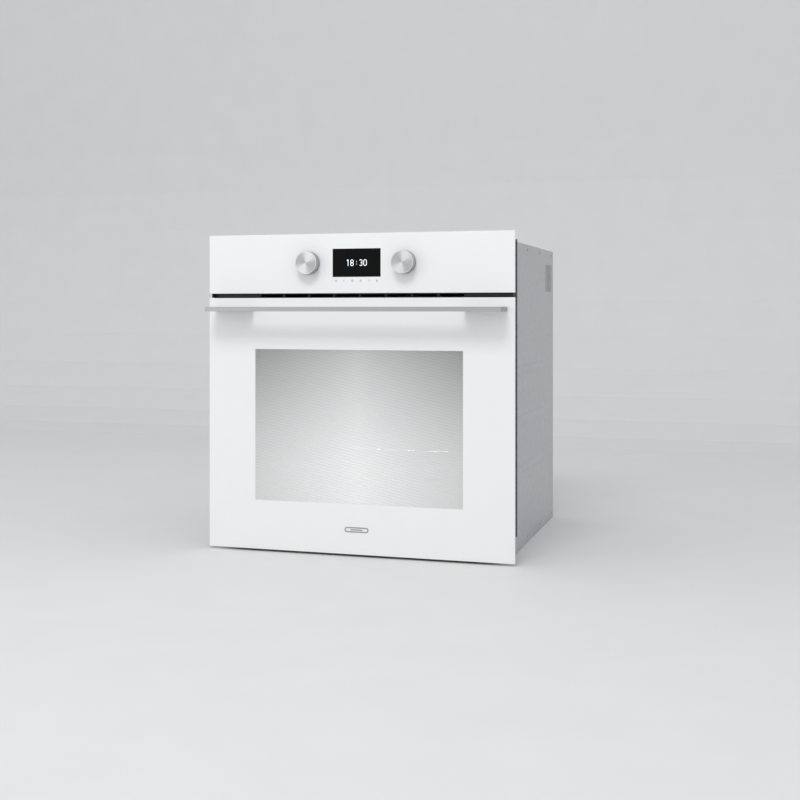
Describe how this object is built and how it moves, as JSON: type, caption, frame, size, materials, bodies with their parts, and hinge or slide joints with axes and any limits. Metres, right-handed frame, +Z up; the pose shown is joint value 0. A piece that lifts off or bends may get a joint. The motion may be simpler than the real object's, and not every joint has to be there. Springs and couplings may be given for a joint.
{
  "type": "wall oven",
  "caption": "Built-in electric oven with a drop-down glass door, flat bar handle, glass control panel with rotary knobs and display, and a fan-assisted cavity.",
  "frame": {"origin": "centre of the casing underside, on the surface the oven stands on", "axes": "+Z up, the front faces -Y, +X to the right seen from the front"},
  "size_m": [0.595, 0.589, 0.599],
  "materials": {
    "white_glass": "white printed toughened glass, polished",
    "clear_glass": "clear low-emission glass",
    "spun_aluminium": "spun and clear anodised",
    "brushed_aluminium": "brushed lengthways and anodised",
    "galvanised": "galvanised sheet",
    "enamel": "fired grey enamel",
    "stainless": "plain stainless",
    "chrome_wire": "chrome plated wire",
    "grey_plastic": "moulded grey plastic",
    "pale_plastic": "moulded heat-resistant plastic",
    "circuit": "lacquered circuit board",
    "display": "dark display glass",
    "seal": "silicone",
    "mineral_wool": "mineral wool",
    "element": "heat-stained sheath",
    "spring_steel": "oiled spring steel",
    "motor": "lacquered motor"
  },
  "bodies": {
    "casing": {"front_frame": "enamel", "cavity_shell": "enamel", "cavity_back": "enamel", "base_panel": "galvanised", "side_panels": "galvanised", "rear_panel": "galvanised", "top_cover": "galvanised", "casing_screws": "stainless", "insulation_blanket": "mineral_wool", "door_gasket": "seal", "cooling_duct": "galvanised", "blower_housing": "galvanised", "blower_motor": "motor", "fan_cover": "enamel", "convection_motor": "motor", "ring_heater": "element", "lower_heater": "element", "grill_brackets": "stainless", "lamp_housing": "stainless", "lamp_bulb": "clear_glass", "lamp_glass": "clear_glass", "temperature_probe": "stainless", "side_racks": "chrome_wire", "rails_outer": "stainless", "control_glass": "white_glass", "panel_carrier": "grey_plastic", "display_module": "display", "encoders": "grey_plastic", "vent_strip": "grey_plastic", "control_board": "circuit", "terminal_box": "grey_plastic", "terminal_cover": "grey_plastic", "cable_gland": "seal", "terminal_block": "pale_plastic", "door_switch_body": "pale_plastic", "hinge_arms": "spring_steel", "hinge_receivers": "galvanised"},
    "door": {"door_glass_outer": "white_glass", "door_glass_middle": "clear_glass", "door_glass_inner": "clear_glass", "glass_spacers": "grey_plastic", "door_stiles": "galvanised", "door_rails": "galvanised", "handle_bar": "brushed_aluminium", "handle_posts": "brushed_aluminium", "hinge_cases": "spring_steel", "hinge_pins": "spring_steel", "hinge_springs": "spring_steel"},
    "knob_left": {"knob_left": "spun_aluminium", "encoder_shaft_left": "stainless"},
    "knob_right": {"knob_right": "spun_aluminium", "encoder_shaft_right": "stainless"},
    "fan": {"convection_fan": "stainless"},
    "blower": {"blower_wheel": "galvanised"},
    "grill": {"grill_heater": "element"},
    "shelf": {"wire_shelf": "chrome_wire", "rails_inner": "stainless"},
    "middle_rails": {"rails_middle": "stainless"},
    "spring_rods": {"spring_rods": "spring_steel"},
    "switch_plunger": {"door_switch_plunger": "pale_plastic"}
  },
  "joints": [
    {"name": "door_hinge", "type": "hinge", "parent": "casing", "child": "door", "pos_m": [0, -0.2665, 0.026], "axis": [1, 0, 0], "range_deg": [0, 90]},
    {"name": "knob_left_turn", "type": "hinge", "parent": "casing", "child": "knob_left", "pos_m": [-0.0933, -0.29, 0.5445], "axis": [0, -1, 0], "continuous": true},
    {"name": "knob_right_turn", "type": "hinge", "parent": "casing", "child": "knob_right", "pos_m": [0.0933, -0.29, 0.5445], "axis": [0, -1, 0], "continuous": true},
    {"name": "fan_spin", "type": "hinge", "parent": "casing", "child": "fan", "pos_m": [0, 0.1535, 0.2545], "axis": [0, -1, 0], "continuous": true},
    {"name": "blower_spin", "type": "hinge", "parent": "casing", "child": "blower", "pos_m": [0, 0.0505, 0.5], "axis": [0, 0, 1], "continuous": true},
    {"name": "grill_fold", "type": "hinge", "parent": "casing", "child": "grill", "pos_m": [0, 0.1495, 0.424], "axis": [1, 0, 0], "range_deg": [0, 20]},
    {"name": "shelf_slide", "type": "slide", "parent": "casing", "child": "shelf", "axis": [0, -1, 0], "range_m": [0, 0.3]},
    {"name": "middle_rail_slide", "type": "slide", "parent": "casing", "child": "middle_rails", "axis": [0, -1, 0], "range_m": [0, 0.15]},
    {"name": "rod_slide", "type": "slide", "parent": "door", "child": "spring_rods", "axis": [0, 0, -1], "range_m": [0, 0.0121], "deforming": ["hinge_springs"]},
    {"name": "switch_slide", "type": "slide", "parent": "casing", "child": "switch_plunger", "axis": [0, -1, 0], "range_m": [0, 0.0051]}
  ],
  "couplings": [
    {"joint": "shelf_slide", "follows": "door_hinge", "m_per_rad": 0.19},
    {"joint": "middle_rail_slide", "follows": "door_hinge", "m_per_rad": 0.095},
    {"joint": "rod_slide", "follows": "door_hinge", "m_per_rad": 0.0076394},
    {"joint": "switch_slide", "follows": "door_hinge", "m_per_rad": 0.00318}
  ]
}
